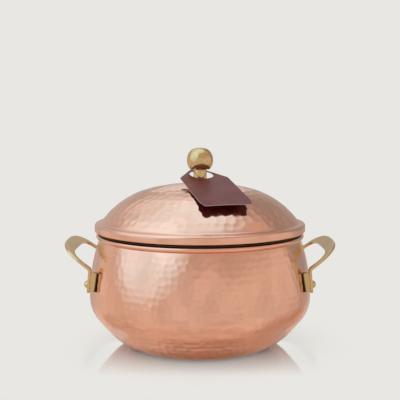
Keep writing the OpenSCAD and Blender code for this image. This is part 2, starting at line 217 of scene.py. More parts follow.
# Hammer marks: pitch along a row, from row to row, the hammer's round, and the random seed.
# MARK_REACH is in pitches and MARK_RIDGE in depths of a mark. The scatter is in pitches
# sideways, in rows for the rise and in depths of a mark for the depth
POT_MARKS = {"pitch": 6.8 * MM, "row": 6.1 * MM, "ball": 50 * MM, "seed": 11}
LID_MARKS = {"pitch": 8.6 * MM, "row": 7.6 * MM, "ball": 42 * MM, "seed": 5}
MARK_REACH = 0.56
MARK_RIDGE = 1.1
SIDE_SCATTER = 0.16
RISE_SCATTER = 0.12
DEPTH_SCATTER = 0.10
FEWEST_MARKS = 5
POT_MARKS_TOP_Z = 101 * MM
POT_MARKS_LOW_Z = 2.5 * MM
MARKS_FADE = 4 * MM
LOW_MARKS_DEEPER = 1.2
LOW_MARKS_Z = (14 * MM, 34 * MM)

# Fineness of the turned bodies
MARK_STEP = 1.15 * MM
PLAIN_STEP = 4 * MM
CLOSE_STEP = PLAIN_STEP / 2
ROLL_STEP = ROLL_R / 6
HEM_STEP = HEM_R / 3
FILLET_STEP = HOLLOW_FILLET_R / 5
NO_LENGTH = 1e-12
TURN_SEGMENTS = 600
LINING_SEGMENTS = 192
BALL_SEGMENTS = 128
STEM_SEGMENTS = 96

# Surface detail that the metals share: scales of the noise and how much it does
DRIFT_SCALE = 26
WIPE_SCALE = 220
WIPE_STRETCH = (1, 1, 5)
GRAIN_STRENGTH = 0.25
COAT_ROUGHNESS = 0.12
FIRM_NOISE = (0.35, 0.65)
SOFT_NOISE = (0.30, 0.70)

# Card: scales of the mottled print, of its gloss and of its fibres
MOTTLE_SCALE = 60
PRINT_GLOSS_SCALE = 500
PRINT_ROUGHNESS = (0.30, 0.42)
PRINT_SPECULAR = 0.55
FIBRE_SCALE = 1800
FIBRE_STRENGTH = 0.3
FIBRE_DEPTH = 0.00002
CORE_SCALE = 900
CORE_ROUGHNESS = 0.8

# Colours that change over a body, all painted shade: darker towards the pot's foot, and near
# black in the crevice beside the saddle blocks
COPPER_FOOT_SHADE = (0.42, 0.17, 0.10)
FOOT_SHADE_Z = (-1.0 * MM, 17 * MM)
# painted shade of the crevice along the pot's wall
CREVICE_SHADE_COLOUR = (0.045, 0.018, 0.010)

# Camera
CAMERA_BACK = 0.700
CAMERA_Z = 0.2107
CAMERA_DOWN = math.radians(5.37)
FOCAL_PX = 699.3
PHOTO_PX = 400
SENSOR_MM = 36
CAMERA_CLIP = 0.01

# Floor: the mirror in front of the kettle, the shadow round it, and painted shade as a dark
# line where the kettle touches it
BACKDROP = (0.807, 0.799, 0.768)
FLOOR_SIZE = 6
FLOOR_Z = -0.0002
MIRROR_TONE = (0.98, 0.98, 0.98)
MIRROR_ROUGHNESS = 0.06
MIRROR_MIDDLE = (0, -0.060, 0)
MIRROR_AROUND = (0.099, 0.114)
MIRROR_FRONT_Y = (-0.104, -0.012)
MIRROR_REAR_Y = (-0.005, 0.040)
MIRROR_FACING = (0.25, 0.62)
MIRROR_FROM_ABOVE = 0.15
FLOOR_MATT = (0.84, 0.83, 0.80)
SHADOW_AROUND = (0.070, 0.175)
SHADOW_SHARE = 0.25
# painted shade at the contact: its colour, the ring it fades over, where it starts inside, and
# its share
CONTACT_SHADE_TONE = (0.10, 0.035, 0.020)
CONTACT_AROUND = (0.048, 0.077)
CONTACT_INSIDE = (0.040, 0.050)
CONTACT_SHARE = 0.78

# Sky that the metal sees, by the height of the direction, and how uneven it is
SKY_DOWN = (0.68, 0.44, 0.32)
SKY_LOW = (0.72, 0.54, 0.43)
SKY_LEVEL = (0.70, 0.57, 0.49)
SKY_HIGH = (0.57, 0.43, 0.36)
DOWN_TO_LOW = (-0.98, -0.70)
LOW_TO_LEVEL = (-0.70, -0.15)
LEVEL_TO_HIGH = (0.02, 0.45)
PATCH_SCALE = 3.2
PATCH_GAIN = (0.85, 1.15)
RIPPLE_SCALE = 8.0
RIPPLE_GAIN = (0.86, 1.12)
RIPPLE_BELOW = (-0.45, -0.10)
FILL_TONE = (1.0, 0.99, 0.97)
FILL_STRENGTH = 0.62

# Lights and screens in that sky: degrees to the right of the camera, degrees up, degrees
# from the middle to where it starts to fade and to where it ends, colour
SOFT_BOXES = (
    (145, 18, 18, 44, (0.38, 0.32, 0.29)),      # dark screen behind, to the right
    (-160, 16, 18, 46, (0.52, 0.45, 0.42)),     # dim screen behind, to the left
    (176, -64, 10, 30, (0.40, 0.21, 0.135)),    # shade below the pot
    (118, -42, 10, 38, (0.52, 0.32, 0.23)),     # shade low on the right
    (-118, -48, 8, 30, (0.62, 0.42, 0.31)),     # shade low on the left
    (-140, 58, 12, 38, (0.76, 0.76, 0.76)),     # grey sheet high behind, to the left
    (-110, 84, 12, 42, (0.90, 1.08, 1.17)),     # soft light overhead
    (-63, 36, 26, 49, (0.93, 1.09, 1.18)),      # large soft light in front, to the left
)
# The backdrop itself, as the loops of the handles mirror it; the unevenness leaves it alone
BACKDROP_BOX = (180, 21.5, 8.8, 10.2, BACKDROP)

# Lamps: place, size and power
KEY_LAMP = ((-0.9, -0.7, 1.1), 1.0, 9)
TOP_LAMP = ((0.2, 0.2, 1.5), 1.4, 9)
LAMP_AIM = Vector((0, 0, 0.1))


# ---------------------------------------------------------------- outlines

def arc(c, r, a0, a1, step):
    """Points of an arc about c, no further apart than step."""
    n = max(2, int(math.ceil(abs(a1 - a0) * r / step)))
    a = np.linspace(a0, a1, n + 1)
    return np.stack([c[0] + r * np.cos(a), c[1] + r * np.sin(a)], -1)


def line(p, q, step):
    """Points of a straight stretch, no further apart than step, without its ends."""
    p, q = np.array(p, float), np.array(q, float)
    n = max(1, int(math.ceil(np.linalg.norm(q - p) / step)))
    return p + (q - p) * np.linspace(0, 1, n + 1)[1:-1, None]


def wall_outline(off, top, step):
    """The pot's wall from the axis up to a height in the neck, set in by off."""
    base = arc((FLAT_R, BASE_ARC_R), BASE_ARC_R - off, -math.pi / 2, -LOWER_SWEEP, step)
    low = arc((BELLY_R - LOWER_ARC_R, BELLY_Z), LOWER_ARC_R - off, -LOWER_SWEEP, 0, step)
    high = arc((BELLY_R - UPPER_ARC_R, BELLY_Z), UPPER_ARC_R - off, 0, NECK_A, step)[1:]
    end = np.array([[NECK_R - off, top]])
    return np.concatenate([line((0, off), base[0], step), base, line(base[-1], low[0], step),
                           low, high, line(high[-1], end[0], step), end])


def lid_outline(off, step):
    """The lid from the axis down to the top of its skirt, set in by off."""
    half = math.pi / 2
    crown = arc((0, CROWN_Z - CROWN_ARC_R), CROWN_ARC_R - off, half, half - CROWN_A, step)[1:]
    shoulder = arc(SHOULDER_C, SHOULDER_ARC_R - off, half - CROWN_A, half - DOME_EDGE_SLOPE,
                   step)[1:]
    hollow = arc((HOLLOW_R, HOLLOW_Z), HOLLOW_FILLET_R + off, 3 * half - DOME_EDGE_SLOPE,
                 3 * half - FLANGE_FALL, FILLET_STEP)[1:]
    corner = arc((CORNER_R, CORNER_Z), SKIRT_CORNER_R - off, half - FLANGE_FALL, 0,
                 FILLET_STEP)
    return np.concatenate([crown, shoulder, hollow, corner])


def superellipse(half, reach, power, a):
    """A point of a superellipse, (out, across), at an angle from -90 to +90 degrees."""
    c, s = max(math.cos(a), 0.0), math.sin(a)
    return (reach * c ** (2 / power), half * math.copysign(abs(s) ** (2 / power), s))


# ---------------------------------------------------------------- meshes

def new_mesh(name, verts, faces, smooth=True):
    """A mesh object in the scene from a list of points and faces."""
    mesh = bpy.data.meshes.new(name)
    mesh.from_pydata([tuple(v) for v in verts], [], faces)
    mesh.validate()
    mesh.polygons.foreach_set("use_smooth", [smooth] * len(mesh.polygons))
    mesh.update()
    obj = bpy.data.objects.new(name, mesh)
    bpy.context.scene.collection.objects.link(obj)
    return obj


def even_faces(obj):
    """Lets flat faces keep their flat look beside their softened edges."""
    weigh = obj.modifiers.new("even_faces", "WEIGHTED_NORMAL")
    weigh.keep_sharp = True


def grid_faces(rows, cols):
    """Quads between rows of points that each go once round."""
    faces = []
    for i in range(rows - 1):
        a = i * cols
        b = a + cols
        for j in range(cols):
            k = (j + 1) % cols
            faces.append((a + j, a + k, b + k, b + j))
    return faces


def turned_points(outline, segments):
    """An outline of (radius, height) points turned about the axis, row by row."""
    t = np.linspace(0, 2 * math.pi, segments, endpoint=False)
    r, z = outline[:, 0][:, None], outline[:, 1][:, None]
    return np.stack([r * np.cos(t), r * np.sin(t), z + 0 * t], -1)


def turned_body(name, outline, segments, shift=None):
    """A closed body turned from an outline that starts and ends near the axis.
    shift, if given, moves each point of the grid."""
    grid = turned_points(outline, segments)
    if shift is not None:
        grid = grid + shift
    rows = len(outline)
    verts = list(grid.reshape(-1, 3))
    faces = grid_faces(rows, segments)
    for row, flip in ((0, True), (rows - 1, False)):
        centre = len(verts)
        verts.append((0.0, 0.0, float(grid[row, :, 2].mean())))
        for j in range(segments):
            a, b = row * segments + j, row * segments + (j + 1) % segments
            faces.append((centre, b, a) if flip else (centre, a, b))
    return new_mesh(name, verts, faces)


def outward(outline):
    """The outline's normals, to the right of its direction of travel."""
    d = np.gradient(outline, axis=0)
    d /= np.maximum(np.linalg.norm(d, axis=1), NO_LENGTH)[:, None]
    return np.stack([d[:, 1], -d[:, 0]], -1)


def smoothstep(x, a, b):
    """0 up to a, 1 from b on, with a soft rise between them."""
    t = np.clip((x - a) / (b - a), 0, 1)
    return t * t * (3 - 2 * t)


def hammered(outline, segments, marks):
    """Depth of the hammer marks over a turned grid: each mark is a shallow dish struck by a
    round hammer, in rows round the body, and neighbouring dishes meet in low ridges."""
    rng = np.random.default_rng(marks["seed"])
    pitch, row, ball = marks["pitch"], marks["row"], marks["ball"]
    s = np.concatenate([[0], np.cumsum(np.linalg.norm(np.diff(outline, axis=0), axis=1))])
    radius = outline[:, 0]
    rows = int(s[-1] / row) + 3
    most = int(2 * math.pi * radius.max() / pitch) + 2
    row_s = (np.arange(rows) - 0.5) * row
    row_r = np.interp(row_s, s, radius)
    count = np.maximum(FEWEST_MARKS, np.round(2 * math.pi * row_r / pitch)).astype(int)
    start = rng.random(rows)
    side = rng.normal(0, SIDE_SCATTER, (rows, most)) * pitch
    rise = rng.normal(0, RISE_SCATTER, (rows, most)) * row
    shallow = rng.normal(0, DEPTH_SCATTER, (rows, most))
    cap = (MARK_REACH * pitch) ** 2 / (2 * ball)
    theta = np.linspace(0, 2 * math.pi, segments, endpoint=False)[None, :]
    near = np.floor(s / row + 0.5).astype(int)[:, None]
    best = np.full((len(s), segments), np.inf)
    for dj in (-1, 0, 1):
        j = np.clip(near + dj, 0, rows - 1)
        turn = 2 * math.pi / count[j]
        k0 = np.round(theta / turn - start[j]).astype(int)
        for dk in (-1, 0, 1):
            k = (k0 + dk) % count[j]
            across = (theta - (k0 + dk + start[j]) * turn) * radius[:, None] - side[j, k]
            along = s[:, None] - row_s[j] - rise[j, k]
            height = (across ** 2 + along ** 2) / (2 * ball) + shallow[j, k] * cap
            best = np.minimum(best, height)
    return cap * MARK_RIDGE - np.clip(best, 0, cap * MARK_RIDGE)


def dented(outline, rows, depth):
    """How each point of a turned grid moves when the given rows sink by depth."""
    normal = outward(outline[rows])
    t = np.linspace(0, 2 * math.pi, TURN_SEGMENTS, endpoint=False)
    shift = np.zeros((len(outline), TURN_SEGMENTS, 3))
    shift[rows, :, 0] = -depth * normal[:, :1] * np.cos(t)
    shift[rows, :, 1] = -depth * normal[:, :1] * np.sin(t)
    shift[rows, :, 2] = -depth * normal[:, 1:]
    return shift


# ---------------------------------------------------------------- materials

class Nodes:
    """Short helpers to add and join nodes in one tree."""

    def __init__(self, tree):
        self.tree = tree

    def add(self, kind, **settings):
        """A new node. A setting is an input's value or, failing that, a property."""
        node = self.tree.nodes.new(kind)
        for key, value in settings.items():
            if key in node.inputs:
                node.inputs[key].default_value = value
            else:
                setattr(node, key, value)
        return node

    def link(self, out, into):
        """Joins an output to an input."""
        self.tree.links.new(out, into)

    def feed(self, value, socket):
        """Gives a socket a number, a colour or another node's output."""
        if isinstance(value, bpy.types.NodeSocket):
            self.link(value, socket)
        elif isinstance(value, tuple):
            socket.default_value = (*value, 1)
        else:
            socket.default_value = value

    def place(self):
        """The point in the body's own space."""
        return self.add("ShaderNodeTexCoord").outputs["Object"]

    def split(self, vector):
        """The X, Y and Z of a vector."""
        node = self.add("ShaderNodeSeparateXYZ")
        self.link(vector, node.inputs[0])
        return node.outputs

    def distance(self, point, centre=(0, 0, 0)):
        """How far a point lies from centre."""
        node = self.add("ShaderNodeVectorMath", operation="DISTANCE")
        self.link(point, node.inputs[0])
        node.inputs[1].default_value = centre
        return node.outputs["Value"]

    def noise(self, scale, detail, where=None, stretch=None):
        """Noise over the body's own space or over where, stretched along its axes if asked."""
        coords = self.place() if where is None else where
        if stretch:
            mapping = self.add("ShaderNodeMapping", Scale=stretch)
            self.link(coords, mapping.inputs["Vector"])
            coords = mapping.outputs["Vector"]
        node = self.add("ShaderNodeTexNoise", Scale=scale, Detail=detail)
        self.link(coords, node.inputs["Vector"])
        return node.outputs["Fac"]

    def ramp(self, value, low, high, a, b, smooth=False):
        """value mapped from low..high to a..b, clamped."""
        node = self.add("ShaderNodeMapRange")
        if smooth:
            node.interpolation_type = "SMOOTHSTEP"
        for key, v in (("Value", value), ("From Min", low), ("From Max", high),
                       ("To Min", a), ("To Max", b)):
            self.feed(v, node.inputs[key])
        return node.outputs["Result"]

    def times(self, a, b):
        """The product of two outputs."""
        node = self.add("ShaderNodeMath", operation="MULTIPLY")
        self.link(a, node.inputs[0])
        self.link(b, node.inputs[1])
        return node.outputs["Value"]

    def mix(self, fac, a, b):
        """Colour a where fac is 0, b where it is 1."""
        node = self.add("ShaderNodeMix", data_type="RGBA")
        self.link(fac, node.inputs["Factor"])
        for socket, value in zip([i for i in node.inputs if i.type == "RGBA"], (a, b)):
            self.feed(value, socket)
        return [o for o in node.outputs if o.type == "RGBA"][0]

    def lay(self, share, under, over):
        """Shader under where share is 0, over where it is 1."""
        node = self.add("ShaderNodeMixShader")
        for socket, value in zip(node.inputs, (share, under, over)):
            self.link(value, socket)
        return node.outputs["Shader"]

    def bump(self, height, strength, distance):
        """A normal that follows small differences in height."""
        node = self.add("ShaderNodeBump", Strength=strength, Distance=distance)
        self.link(height, node.inputs["Height"])
        return node.outputs["Normal"]


def material(name):
    """A new node material, its Principled shader and helpers for its nodes."""
    mat = bpy.data.materials.new(name)
    mat.use_nodes = True
    return mat, mat.node_tree.nodes["Principled BSDF"], Nodes(mat.node_tree)


def metal(name, bright, deep, rough, grain_scale, grain_depth, coat=0.0):
    """Polished metal: slow drift of colour, fine wipe marks in the gloss, faint grain.
    rough is the least and the most of the roughness."""
    mat, shader, n = material(name)
    shader.inputs["Metallic"].default_value = 1.0
    shader.inputs["Coat Weight"].default_value = coat
    shader.inputs["Coat Roughness"].default_value = COAT_ROUGHNESS
    drift = n.ramp(n.noise(DRIFT_SCALE, detail=4), *FIRM_NOISE, 0, 1)
    n.link(n.mix(drift, bright, deep), shader.inputs["Base Color"])
    wipe = n.noise(WIPE_SCALE, detail=5, stretch=WIPE_STRETCH)
    n.link(n.ramp(wipe, *SOFT_NOISE, *rough), shader.inputs["Roughness"])
    grain = n.bump(n.noise(grain_scale, detail=4), GRAIN_STRENGTH, grain_depth)
    n.link(grain, shader.inputs["Normal"])
    return mat


def darken(mat, clear, dark):
    """Paints shade into a metal's colour: turns it to dark where clear falls to 0."""
    n = Nodes(mat.node_tree)
    colour = mat.node_tree.nodes["Principled BSDF"].inputs["Base Color"]
    n.link(n.mix(clear, dark, colour.links[0].from_socket), colour)


def copper_material():
    """Polished copper, with painted shade that makes it a little darker where the pot turns in
    to its foot.
    """
    mat = metal("copper_hammered", bright=(0.94, 0.60, 0.47), deep=(0.92, 0.56, 0.42),
                rough=(0.12, 0.20), grain_scale=900, grain_depth=0.00004, coat=0.15)
    n = Nodes(mat.node_tree)
    height = n.split(n.place())["Z"]
    # painted shade: the copper darkens towards the foot
    darken(mat, n.ramp(height, *FOOT_SHADE_Z, 0, 1), COPPER_FOOT_SHADE)
    return mat


def brass_material():
    """Brass of the handles, the knob and the rivets."""
    return metal("brass_polished", bright=(0.78, 0.62, 0.345), deep=(0.70, 0.535, 0.27),
                 rough=(0.10, 0.20), grain_scale=1400, grain_depth=0.00003)


def stainless_material():
    """Satin stainless steel of the lining and the saddles."""
    return metal("stainless_satin", bright=(0.62, 0.62, 0.62), deep=(0.56, 0.56, 0.57),
                 rough=(0.24, 0.34), grain_scale=1600, grain_depth=0.00004)


def dark_steel_material():
    """Steel of the rim wire and the fasteners."""
    return metal("steel_fastener", bright=(0.50, 0.50, 0.51), deep=(0.42, 0.42, 0.43),
                 rough=(0.22, 0.36), grain_scale=1800, grain_depth=0.00005)


def gap_shade_steel_material():
    """Steel of the ring that seats the lid, painted near black as the shade in the gap under
    the lid.
    """
    return metal("steel_gap_shade", bright=(0.075, 0.045, 0.032), deep=(0.055, 0.032, 0.022),
                 rough=(0.38, 0.5), grain_scale=1600, grain_depth=0.00004)


def crevice_shade_brass_material():
    """Brass of the spacers with painted shade: a little darker than the handles' brass, and
    painted nearly black as the shade in the crevice along the pot's wall.
    """
    mat = metal("brass_crevice_shade", bright=(0.72, 0.57, 0.31), deep=(0.62, 0.47, 0.235),
                rough=(0.14, 0.24), grain_scale=1400, grain_depth=0.00004)
    n = Nodes(mat.node_tree)
    at = n.split(n.place())
    flat = n.add("ShaderNodeCombineXYZ")
    n.link(at["X"], flat.inputs["X"])
    n.link(at["Y"], flat.inputs["Y"])
    follow = n.add("ShaderNodeMath", operation="MULTIPLY_ADD")
    n.link(at["Z"], follow.inputs[0])
    follow.inputs[1].default_value = WALL_FALL
    n.link(n.distance(flat.outputs["Vector"]), follow.inputs[2])
    wall = SPACER_WALL_R + WALL_FALL * SPACER_Z
    # painted shade: the brass turns to the crevice colour close to the wall, where shade falls
    # in the crevice
    clear = n.ramp(follow.outputs["Value"], wall + CREVICE_NEAR, wall + CREVICE_FAR, 0, 1)
    darken(mat, clear, CREVICE_SHADE_COLOUR)
    return mat


def card_material():
    """Burgundy card with a satin face and a soft, slightly mottled print."""
    mat, shader, n = material("card_burgundy")
    mottle = n.ramp(n.noise(MOTTLE_SCALE, detail=3), *SOFT_NOISE, 0, 1)
    n.link(n.mix(mottle, (0.120, 0.018, 0.022), (0.080, 0.011, 0.015)),
           shader.inputs["Base Color"])
    gloss = n.ramp(n.noise(PRINT_GLOSS_SCALE, detail=3), *SOFT_NOISE, *PRINT_ROUGHNESS)
    n.link(gloss, shader.inputs["Roughness"])
    fibre = n.bump(n.noise(FIBRE_SCALE, detail=2), FIBRE_STRENGTH, FIBRE_DEPTH)
    n.link(fibre, shader.inputs["Normal"])
    shader.inputs["Specular IOR Level"].default_value = PRINT_SPECULAR
    return mat


def card_edge_material():
    """The pale core of the card, seen along its cut edges."""
    mat, shader, n = material("card_edge")
    n.link(n.mix(n.noise(CORE_SCALE, detail=2), (0.62, 0.47, 0.45), (0.50, 0.34, 0.33)),
           shader.inputs["Base Color"])
    shader.inputs["Roughness"].default_value = CORE_ROUGHNESS
    return mat


# ---------------------------------------------------------------- pieces

def finish_piece(obj, body, node, slot, *materials):
    """Materials, the body that carries the piece, and the CAD node it stands for."""
    for mat in materials:
        obj.data.materials.append(mat)
    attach(obj, body)
    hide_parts(node)
    return obj


def pot_body(copper):
    """The hammered copper pot: outer face, rolled rim and plain inner face in one skin."""
    outer = wall_outline(0, NECK_Z, MARK_STEP)[1:]
    roll = arc((RIM_R, RIM_Z), ROLL_R, ROLL_START, math.pi, ROLL_STEP)
    inner = wall_outline(WALL_T, RIM_Z, PLAIN_STEP)[::-1][1:]
    outline = np.concatenate([outer, roll, inner])
    z = outer[:, 1]
    keep = 1 - smoothstep(z, POT_MARKS_TOP_Z, POT_MARKS_TOP_Z + MARKS_FADE)
    keep *= smoothstep(z, POT_MARKS_LOW_Z, POT_MARKS_LOW_Z + MARKS_FADE)
    keep *= 1 + LOW_MARKS_DEEPER * (1 - smoothstep(z, *LOW_MARKS_Z))
    depth = hammered(outer, TURN_SEGMENTS, POT_MARKS) * keep[:, None]
    shift = dented(outline, slice(0, len(outer)), depth)
    obj = turned_body("pot_hammered", outline, TURN_SEGMENTS, shift)
    return finish_piece(obj, "pot", "pot_shell", "copper", copper)


def pot_lining(steel):
    """The smooth stainless lining inside the pot."""
    outer = wall_outline(LINER_OUT, LINER_TOP, CLOSE_STEP)[1:]
    inner = wall_outline(LINER_IN, LINER_TOP, CLOSE_STEP)[::-1][:-1]
    obj = turned_body("pot_lining", np.concatenate([outer, inner]), LINING_SEGMENTS)
    return finish_piece(obj, "pot", "pot_liner", "stainless", steel)


def lid_dome(copper):
    """The hammered dome with its plain hollow, flange, skirt and hem, and the inner face.
    The outline goes from the axis along the inner face and back over the outer one."""
    outer = lid_outline(0, MARK_STEP)
    hem = arc((LID_R - HEM_R, SKIRT_Z + HEM_R), HEM_R, 0, -math.pi, HEM_STEP)
    inner = lid_outline(LID_T, CLOSE_STEP)[::-1]
    skirt = line(outer[-1], hem[0], MARK_STEP)
    outline = np.concatenate([outer, skirt, hem, inner])[::-1]
    keep = 1 - smoothstep(outer[:, 0], DOME_EDGE_R - MARKS_FADE, DOME_EDGE_R)
    depth = (hammered(outer, TURN_SEGMENTS, LID_MARKS) * keep[:, None])[::-1]
    shift = dented(outline, slice(-len(outer), None), depth)
    obj = turned_body("lid_hammered", outline, TURN_SEGMENTS, shift)
    return finish_piece(obj, "lid", "lid_shell", "copper", copper)


def foot_face(z):
    """How far out the inner face of a foot lies at a height."""
    return FOOT_X - (z - FOOT_TOUCH_Z) * math.tan(FOOT_LEAN)


def foot_mid(z):
    """The middle of the strap's thickness in a foot, at a height."""
    return Vector((foot_face(z) + STRAP_T / 2 / math.cos(FOOT_LEAN), 0, z))


def foot_stations(across, start, along, bend_c):
    """One foot from its round toe up through the bend to where the loop starts."""
    mid, half = STRAP_T / 2, STRAP_W / 2
    side = Vector((-math.cos(FOOT_LEAN), 0, -math.sin(FOOT_LEAN)))
    foot = []
    for i in range(TOE_STEPS):
        a = math.radians(TOE_START_DEG + (90 - TOE_START_DEG) * i / (TOE_STEPS - 1))
        p = foot_mid(FOOT_TOUCH_Z - half * math.cos(a))
        w = half * math.sin(a)
        foot.append((p + across * (FOOT_Y - w), p + across * (FOOT_Y + w), side))
    bend_z = BEND_Z - BEND_OUTER_R * math.sin(FOOT_LEAN) - mid * math.sin(FOOT_LEAN)
    rise = [(foot_mid(z), side) for z in np.linspace(FOOT_TOUCH_Z, bend_z, RISE_POINTS)[1:-1]]
    sweep = math.pi / 2 - LOOP_TILT + FOOT_LEAN
    for i in range(BEND_STEPS):
        a = math.pi + FOOT_LEAN - sweep * i / BEND_STEPS
        d = Vector((math.cos(a), 0, math.sin(a)))
        rise.append((bend_c + d * (BEND_R + mid), d))
    for p, n in rise:
        t = min(1.0, max(0.0, 1 + (p - start).dot(along) / ARM_TAPER))
        inner = FOOT_INNER_Y + (ARM_HALF - FOOT_INNER_Y) * t
        foot.append((p + across * inner, p + across * LOOP_HALF, n))
    return foot


def strap_stations():
    """Where the strap goes: inner edge, outer edge and the direction of its thickness,
    from the toe of one foot round the loop to the toe of the other."""
    across = Vector((0, 1, 0))
    along = Vector((math.cos(LOOP_TILT), 0, math.sin(LOOP_TILT)))
    face = Vector((-math.sin(LOOP_TILT), 0, math.cos(LOOP_TILT)))
    bend_x = foot_face(BEND_Z - BEND_OUTER_R * math.sin(FOOT_LEAN))
    bend_c = Vector((bend_x + BEND_OUTER_R * math.cos(FOOT_LEAN), 0, BEND_Z))
    start = bend_c + face * (BEND_R + STRAP_T / 2)
    foot = foot_stations(across, start, along, bend_c)
    loop = []
    for i in range(LOOP_STEPS + 1):
        a = math.pi / 2 - math.pi * i / LOOP_STEPS
        o_in, y_in = superellipse(ARM_HALF, LOOP_REACH - GRIP_W, LOOP_POWER_IN, a)
        o_out, y_out = superellipse(LOOP_HALF, LOOP_REACH, LOOP_POWER_OUT, a)
        loop.append((start + along * o_in + across * y_in,
                     start + along * o_out + across * y_out, face))
    mirrored = [(Vector((a.x, -a.y, a.z)), Vector((b.x, -b.y, b.z)), n)
                for a, b, n in reversed(foot)]
    return foot + loop + mirrored


def strap_section(width):
    """The strap's cross section, (across, through), with softened edges."""
    r = min(STRAP_EDGE_R, width * STRAP_EDGE_MOST)
    across, through = width / 2 - r, STRAP_T / 2 - r
    corner = [math.radians(a) for a in (0, 30, 60, 90)]
    ring = []
    for su, sn in ((1, 1), (-1, 1), (-1, -1), (1, -1)):
        pts = [(su * (across + r * math.cos(a)), sn * (through + r * math.sin(a)))
               for a in corner]
        ring += pts if su == sn else pts[::-1]
    return ring


def strap_handle(side, brass):
    """A brass strap with softened edges, swept round its feet, bends and loop."""
    out = 1 if side == "right" else -1
    stations = strap_stations()
    verts = []
    for inner, outer, face in stations:
        u = (outer - inner).normalized()
        for x, y in strap_section((outer - inner).length):
            p = (outer + inner) / 2 + u * x + face * y
            verts.append((out * p.x, p.y, p.z))
    cols = len(verts) // len(stations)
    last = len(verts) - cols
    faces = grid_faces(len(stations), cols)
    faces.append(tuple(range(cols))[::-1])
    faces.append(tuple(last + i for i in range(cols)))
    obj = new_mesh(f"strap_{side}", verts, [f[::out] for f in faces])
    even_faces(obj)
    return finish_piece(obj, "pot", f"handle_{side}", "brass", brass)


def knob_ball(brass):
    """The ball, with a small round where its flat begins. Above its middle it is a little
    squarer than a sphere."""
    flat_r = math.sqrt(BALL_R ** 2 - (BALL_Z - BALL_FLAT_Z) ** 2)
    start = math.atan2(BALL_FLAT_Z - BALL_Z, flat_r) + BALL_EDGE_R / BALL_R
    low = arc((0, BALL_Z), BALL_R, start, 0, BALL_STEP)
    high = []
    for a in np.radians(np.linspace(0, BALL_TOP_DEG, BALL_TOP_POINTS))[1:]:
        out, up = superellipse(BALL_R, BALL_R, BALL_POWER, a)
        high.append((out, BALL_Z + up))
    edge = np.array([[flat_r - BALL_EDGE_R * 1.5, BALL_FLAT_Z],
                     [flat_r - BALL_EDGE_R * 0.6, BALL_FLAT_Z],
                     [flat_r, BALL_FLAT_Z + BALL_EDGE_R * 0.25]])
    obj = turned_body("knob_ball_turned", np.concatenate([edge, low, high]), BALL_SEGMENTS)
    return finish_piece(obj, "lid", "knob_ball", "brass", brass)


def knob_stem(brass):
    """The turned stem between the lid and the ball."""
    half = [(STEM_HUB_R, 0), (STEM_R - STEM_BEVEL, 0), (STEM_R, STEM_BEVEL),
            (STEM_R, 2 * STEM_BEVEL)]
    low = [(r, STEM_Z + up) for r, up in half]
    high = [(r, BALL_FLAT_Z - down) for r, down in reversed(half)]
    obj = turned_body("knob_stem_turned", np.array(low + high), STEM_SEGMENTS)
    even_faces(obj)
    return finish_piece(obj, "lid", "knob_stem", "brass", brass)


def ray_to_edge(dx, dy):
    """Where a ray from the middle of the hole leaves the card's outline."""
    half, end = TAG_W / 2, TAG_END_W / 2
    corners = [(0, -end), (TAG_CLIP_L, -half), (TAG_L, -half),
               (TAG_L, half), (TAG_CLIP_L, half), (0, end)]
    best = math.inf
    for (x1, y1), (x2, y2) in zip(corners, corners[1:] + corners[:1]):
        ex, ey = x2 - x1, y2 - y1
        det = dx * ey - dy * ex
        if abs(det) < NEARLY_PARALLEL:
            continue
        t = ((x1 - TAG_HOLE_IN) * ey - y1 * ex) / det
        u = ((x1 - TAG_HOLE_IN) * dy - y1 * dx) / det
        if t > 0 and -ON_EDGE <= u <= 1 + ON_EDGE:
            best = min(best, t)
    return (TAG_HOLE_IN + best * dx, best * dy)


def swing_tag(face, edge):
    """The bare card: clipped corners, a large hole round the stem, and a slight curl."""
    rays = [2 * math.pi * i / TAG_AROUND for i in range(TAG_AROUND)]
    rim = [(TAG_HOLE_IN + TAG_HOLE_R * math.cos(a), TAG_HOLE_R * math.sin(a)) for a in rays]
    outline = [ray_to_edge(x - TAG_HOLE_IN, y) for x, y in rim]
    flat = []
    for k in range(TAG_ROWS + 1):
        f = (k / TAG_ROWS) ** TAG_ROW_POWER
        flat += [(p[0] + (q[0] - p[0]) * f, p[1] + (q[1] - p[1]) * f)
                 for p, q in zip(rim, outline)]
    d = Vector((math.cos(TAG_TURN) * math.cos(TAG_SLOPE),
                math.sin(TAG_TURN) * math.cos(TAG_SLOPE), -math.sin(TAG_SLOPE)))
    e = Vector((-math.sin(TAG_TURN), math.cos(TAG_TURN), 0))
    up = d.cross(e)
    origin = Vector((0, 0, TAG_AXIS_Z)) + d * (TAG_HOLE_S - TAG_HOLE_IN)
    verts = []
    for level in (0, TAG_T):
        for s, y in flat:
            curl = TAG_CURL * (1 - (2 * y / TAG_W) ** 2) * min(1.0, max(0.0, s / TAG_L))
            verts.append(tuple(origin + d * s + e * y + up * (level + curl)))
    size = len(flat)
    over = [tuple(i + size for i in f) for f in grid_faces(TAG_ROWS + 1, TAG_AROUND)]
    under = [f[::-1] for f in grid_faces(TAG_ROWS + 1, TAG_AROUND)]
    sides = []
    for j in range(TAG_AROUND):
        k = (j + 1) % TAG_AROUND
        sides.append((j, k, size + k, size + j))
        a, b = TAG_ROWS * TAG_AROUND + j, TAG_ROWS * TAG_AROUND + k
        sides.append((b, a, size + a, size + b))
    obj = new_mesh("card_tag", verts, under + over + sides, smooth=False)
    finish_piece(obj, "tag", "swing_tag", "card", face, edge)
    for cut in obj.data.polygons[len(under) + len(over):]:
        cut.material_index = 1
    return obj


def dress_cad(names, mat):
    """Gives carried-over CAD nodes a finish."""
    for name in names:
        node = frame["nodes"][name]
        node.data.materials.clear()
        node.data.materials.append(mat)


# ---------------------------------------------------------------- stage

